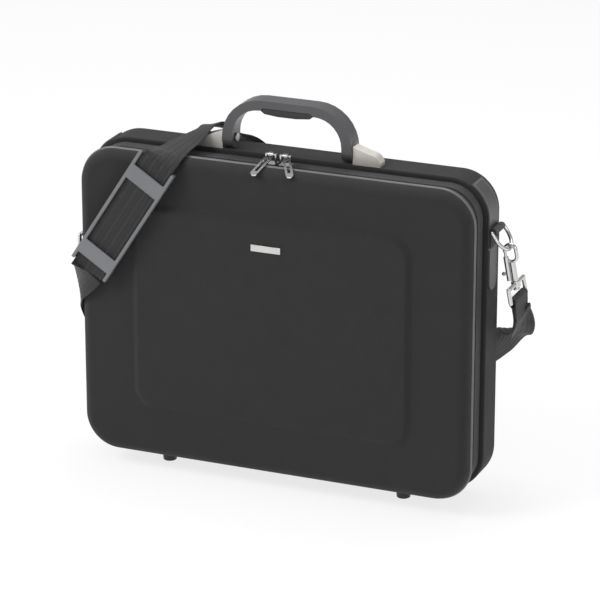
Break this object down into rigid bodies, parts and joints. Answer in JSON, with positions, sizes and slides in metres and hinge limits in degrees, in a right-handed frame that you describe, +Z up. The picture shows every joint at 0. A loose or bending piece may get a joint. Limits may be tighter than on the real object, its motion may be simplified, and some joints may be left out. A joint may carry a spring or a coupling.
{
  "type": "laptop hard case",
  "caption": "Moulded, fabric-covered clamshell laptop case on feet, with a zip, a fold-down carry handle and a padded shoulder strap on snap hooks.",
  "frame": {"origin": "on the floor under the middle of the case, in the plane of the joint between seam and handle, midway between its sides", "axes": "+X along the width, to the right as seen from the lid; the lid faces -Y; +Z up"},
  "size_m": [0.5015, 0.1489, 0.4143],
  "materials": {
    "case_fabric": "black woven polyester over a moulded shell",
    "zip_tape": "dark grey woven tape",
    "zip_teeth": "black coil",
    "lining": "grey brushed lining over foam",
    "elastic": "ribbed elastic",
    "hinge_fabric": "black woven strip",
    "pocket_fabric": "black mesh-backed fabric",
    "plain_steel": "plain",
    "bracket_metal": "satin, pale champagne",
    "nickel": "bright nickel plate",
    "patch": "smooth, dark grey",
    "holder_tape": "black woven tape",
    "foot_plastic": "black, moulded",
    "piping": "grey welt with a soft shine",
    "handle_plastic": "dark grey, fine grain",
    "grip_rubber": "dimpled",
    "webbing": "ribbed webbing",
    "pad_fabric": "padded",
    "pad_plastic": "light grey, smooth"
  },
  "bodies": {
    "rear": {"rear_shell": "case_fabric", "rear_zip_tape": "zip_tape", "rear_zip_teeth": "zip_teeth", "rear_lining": "lining", "rear_pad_top": "lining", "rear_pad_bottom": "lining", "rear_pad_left": "lining", "rear_pad_right": "lining", "elastic_band": "elastic", "hinge_strip": "hinge_fabric", "handle_plate": "plain_steel", "bracket_left": "bracket_metal", "bracket_right": "bracket_metal", "bracket_screws": "plain_steel", "handle_pin_left": "plain_steel", "handle_pin_right": "plain_steel", "side_patch_left": "patch", "side_patch_right": "patch", "ring_holder_left": "holder_tape", "ring_holder_right": "holder_tape", "foot_front_left": "foot_plastic", "foot_front_right": "foot_plastic", "foot_rear_left": "foot_plastic", "foot_rear_right": "foot_plastic", "foot_screws": "plain_steel", "strap_left": "webbing", "strap_back": "webbing"},
    "lid": {"lid_shell": "case_fabric", "lid_piping": "piping", "lid_zip_tape": "zip_tape", "lid_zip_teeth": "zip_teeth", "lid_lining": "lining", "lid_pad_top": "lining", "lid_pad_bottom": "lining", "lid_pad_left": "lining", "lid_pad_right": "lining", "lid_pocket": "pocket_fabric", "name_plate": "nickel"},
    "handle": {"handle_frame": "handle_plastic", "handle_grip": "grip_rubber"},
    "slider_left": {"slider_left": "nickel"},
    "slider_right": {"slider_right": "nickel"},
    "pull_left": {"pull_left": "nickel"},
    "pull_right": {"pull_right": "nickel"},
    "ring_left": {"d_ring_left": "nickel", "bail_left": "nickel", "strap_loop_left": "webbing"},
    "ring_right": {"d_ring_right": "nickel", "bail_right": "nickel", "strap_loop_right": "webbing"},
    "hook_left": {"hook_left": "nickel", "bolt_spring_left": "plain_steel"},
    "hook_right": {"hook_right": "nickel", "bolt_spring_right": "plain_steel"},
    "bolt_left": {"bolt_left": "nickel"},
    "bolt_right": {"bolt_right": "nickel"},
    "strap": {"strap_front": "webbing", "shoulder_pad": "pad_fabric", "pad_frame": "pad_plastic"}
  },
  "joints": [
    {"name": "lid_hinge", "type": "hinge", "parent": "rear", "child": "lid", "pos_m": [0, -0.016, 0.0205], "axis": [1, 0, 0], "range_deg": [0, 85], "deforming": ["hinge_strip", "strap_left", "strap_front", "strap_back", "shoulder_pad", "pad_frame"]},
    {"name": "strap_slide", "type": "slide", "parent": "rear", "child": "strap", "axis": [-0.84, 0, 0.5426], "range_m": [0, 0.1], "deforming": ["strap_left", "strap_front", "strap_back", "shoulder_pad", "pad_frame"]},
    {"name": "handle_fold", "type": "hinge", "parent": "rear", "child": "handle", "pos_m": [0, 0.0105, 0.3683], "axis": [-1, 0, 0], "range_deg": [-75, 0]},
    {"name": "slider_left_slide", "type": "slide", "parent": "rear", "child": "slider_left", "axis": [-1, 0, 0], "range_m": [0, 0.0675]},
    {"name": "slider_right_slide", "type": "slide", "parent": "rear", "child": "slider_right", "axis": [1, 0, 0], "range_m": [0, 0.1545]},
    {"name": "pull_left_hinge", "type": "hinge", "parent": "slider_left", "child": "pull_left", "pos_m": [-0.01, -0.016, 0.3631], "axis": [-1, 0, 0], "range_deg": [0, 105]},
    {"name": "pull_right_hinge", "type": "hinge", "parent": "slider_right", "child": "pull_right", "pos_m": [0.006, -0.016, 0.3631], "axis": [-1, 0, 0], "range_deg": [0, 105]},
    {"name": "ring_left_swing", "type": "hinge", "parent": "rear", "child": "ring_left", "pos_m": [-0.2261, 0.016, 0.303], "axis": [0, 1, 0], "range_deg": [0, 15], "deforming": ["strap_left"]},
    {"name": "ring_right_swing", "type": "hinge", "parent": "rear", "child": "ring_right", "pos_m": [0.2261, 0.016, 0.303], "axis": [0, -1, 0], "range_deg": [-6, 12], "deforming": ["strap_back"]},
    {"name": "hook_left_swivel", "type": "hinge", "parent": "ring_left", "child": "hook_left", "pos_m": [-0.23431, 0.016, 0.28045], "axis": [-0.0523, 0, -0.9986], "range_deg": [-15, 15]},
    {"name": "hook_right_swivel", "type": "hinge", "parent": "ring_right", "child": "hook_right", "pos_m": [0.24004, 0.016, 0.28346], "axis": [0.1908, 0, -0.9816], "range_deg": [-15, 15]},
    {"name": "bolt_left_slide", "type": "slide", "parent": "hook_left", "child": "bolt_left", "axis": [-0.0523, 0, -0.9986], "range_m": [0, 0.0046], "stiffness_N_per_m": 300, "springref_m": -0.004, "deforming": ["bolt_spring_left"]},
    {"name": "bolt_right_slide", "type": "slide", "parent": "hook_right", "child": "bolt_right", "axis": [0.1908, 0, -0.9816], "range_m": [0, 0.0046], "stiffness_N_per_m": 300, "springref_m": -0.004, "deforming": ["bolt_spring_right"]}
  ],
  "couplings": [
    {"joint": "strap_slide", "follows": "lid_hinge", "m_per_rad": 0.06707}
  ]
}
